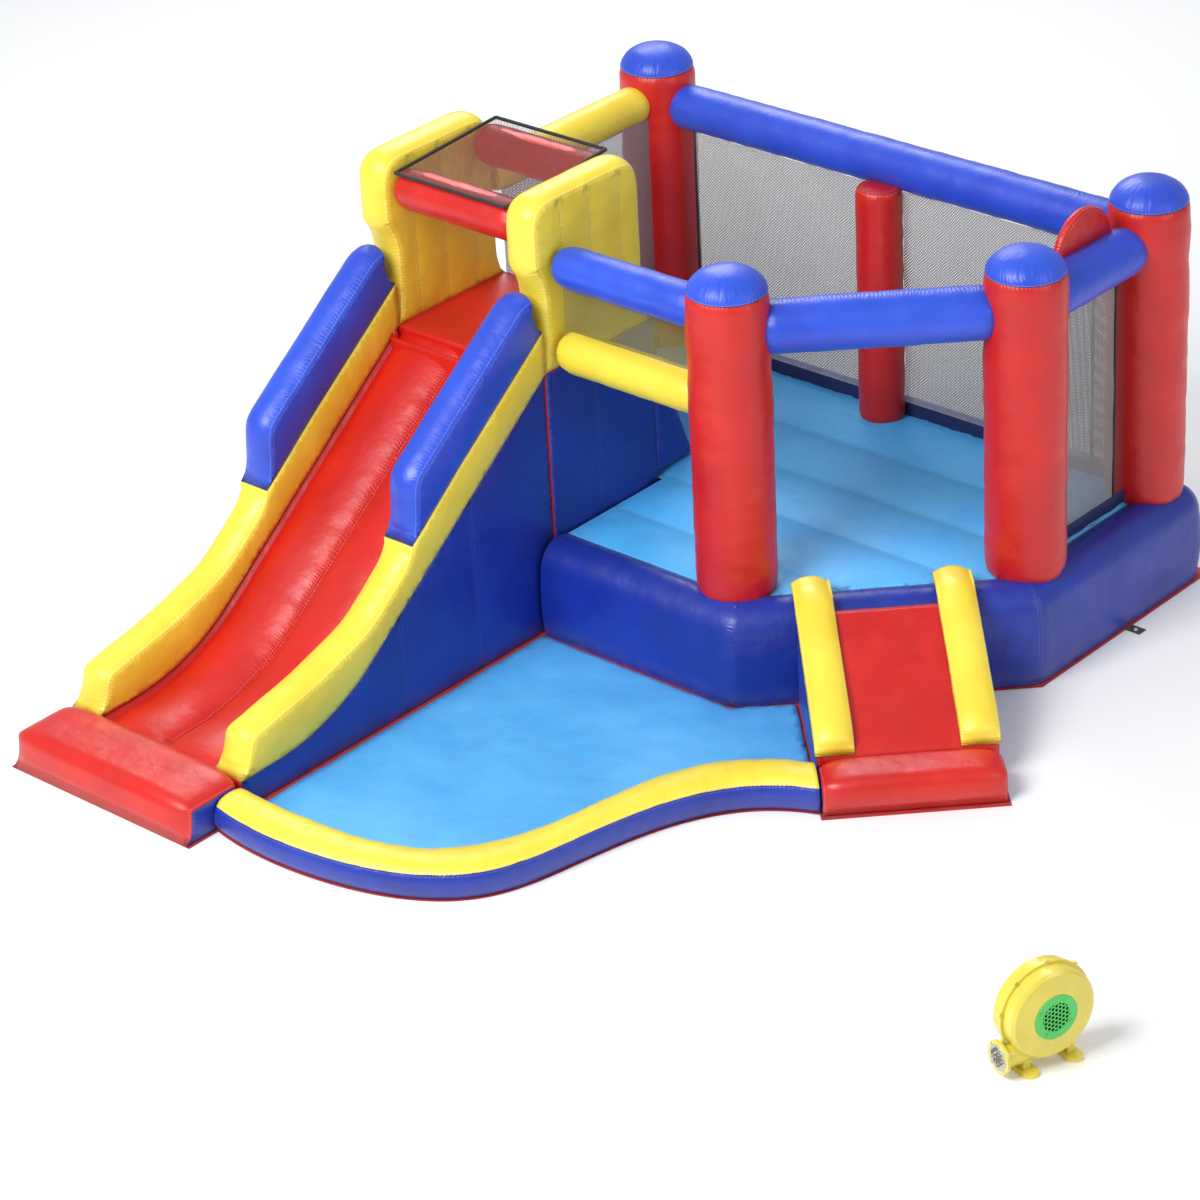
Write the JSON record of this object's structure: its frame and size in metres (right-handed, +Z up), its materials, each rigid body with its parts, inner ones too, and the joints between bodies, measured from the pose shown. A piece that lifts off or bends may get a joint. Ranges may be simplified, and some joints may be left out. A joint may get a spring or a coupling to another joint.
{
  "type": "inflatable bounce house",
  "caption": "Inflatable bounce house with netted bouncing room, climbing tower, slide, splash pool, entry ramp and a separate blower.",
  "frame": {"origin": "on the ground, in the middle of the slide's width and in the front plane of the tower", "axes": "+Z up, the slide runs down towards -Y, the bouncing room lies towards +X and +Y, the entry ramp leaves towards +X -Y"},
  "size_m": [4.7938, 4.67, 1.974],
  "materials": {
    "fabric_blue": "satin coated oxford fabric",
    "fabric_red": "satin coated oxford fabric",
    "fabric_yellow": "satin coated oxford fabric",
    "fabric_light_blue": "satin laminated jumping fabric",
    "fabric_navy": "matt oxford fabric",
    "mesh_grey": "open knitted polyester net",
    "mesh_red": "open knitted polyester net",
    "ground_sheet": "matt coated sheet",
    "webbing_black": "matt woven webbing",
    "plastic_yellow": "glossy moulded plastic",
    "plastic_green": "glossy moulded plastic",
    "plastic_black": "matt moulded plastic",
    "steel": "zinc plated steel",
    "motor_metal": "satin black paint"
  },
  "bodies": {
    "house": {"anchor_tabs": "webbing_black", "backboard": "fabric_red", "blower_feet": "plastic_yellow", "blower_housing_back": "plastic_yellow", "blower_housing_front": "plastic_yellow", "blower_screws": "steel", "border": "fabric_blue", "bounce_floor": "fabric_light_blue", "cable_gland": "plastic_black", "climbing_steps": "fabric_red", "climbing_wall": "fabric_blue", "ground_sheet": "ground_sheet", "handrail_left": "fabric_blue", "handrail_right": "fabric_blue", "inflation_sleeve": "fabric_blue", "intake_grille": "plastic_green", "landing_pad": "fabric_red", "motor": "motor_metal", "net_back": "mesh_grey", "net_flaps": "mesh_red", "net_hems": "fabric_navy", "net_left": "mesh_grey", "net_right": "mesh_grey", "net_window": "mesh_grey", "outlet_duct": "plastic_yellow", "outlet_screen": "steel", "pool_floor": "fabric_light_blue", "pool_wall": "fabric_yellow", "post_back_left": "fabric_red", "post_back_middle": "fabric_red", "post_back_right": "fabric_red", "post_caps": "fabric_blue", "post_front_left": "fabric_red", "post_front_right": "fabric_red", "rail_back": "fabric_blue", "rail_back_left": "fabric_yellow", "rail_front": "fabric_blue", "rail_left_lower": "fabric_yellow", "rail_left_upper": "fabric_blue", "rail_right": "fabric_blue", "ramp_body": "fabric_red", "ramp_bolster_left": "fabric_yellow", "ramp_bolster_right": "fabric_yellow", "ramp_pad": "fabric_red", "roof_net": "mesh_red", "slide_body": "fabric_blue", "slide_cushion": "fabric_red", "slide_wall_left": "fabric_yellow", "slide_wall_right": "fabric_yellow", "switch_bezel": "plastic_black", "tower_body": "fabric_blue", "tower_tube_back": "fabric_red", "tower_tube_front": "fabric_red", "tower_wall_left": "fabric_yellow", "tower_wall_right": "fabric_yellow", "zip_tape": "webbing_black"},
    "fan_rotor": {"impeller": "plastic_black", "motor_shaft": "steel"},
    "switch_rocker": {"power_switch": "plastic_black"},
    "zip_pull": {"zip_slider": "steel"}
  },
  "joints": [
    {"name": "fan_spin", "type": "hinge", "parent": "house", "child": "fan_rotor", "pos_m": [4.017, -1.357, 0.225], "axis": [0.9397, -0.342, 0], "continuous": true},
    {"name": "switch_rock", "type": "hinge", "parent": "house", "child": "switch_rocker", "pos_m": [3.90447, -1.41182, 0.285], "axis": [0, 0, 1], "range_deg": [-13, 0]},
    {"name": "zip_run", "type": "slide", "parent": "house", "child": "zip_pull", "axis": [1, 0, 0], "range_m": [0, 0.28]}
  ]
}
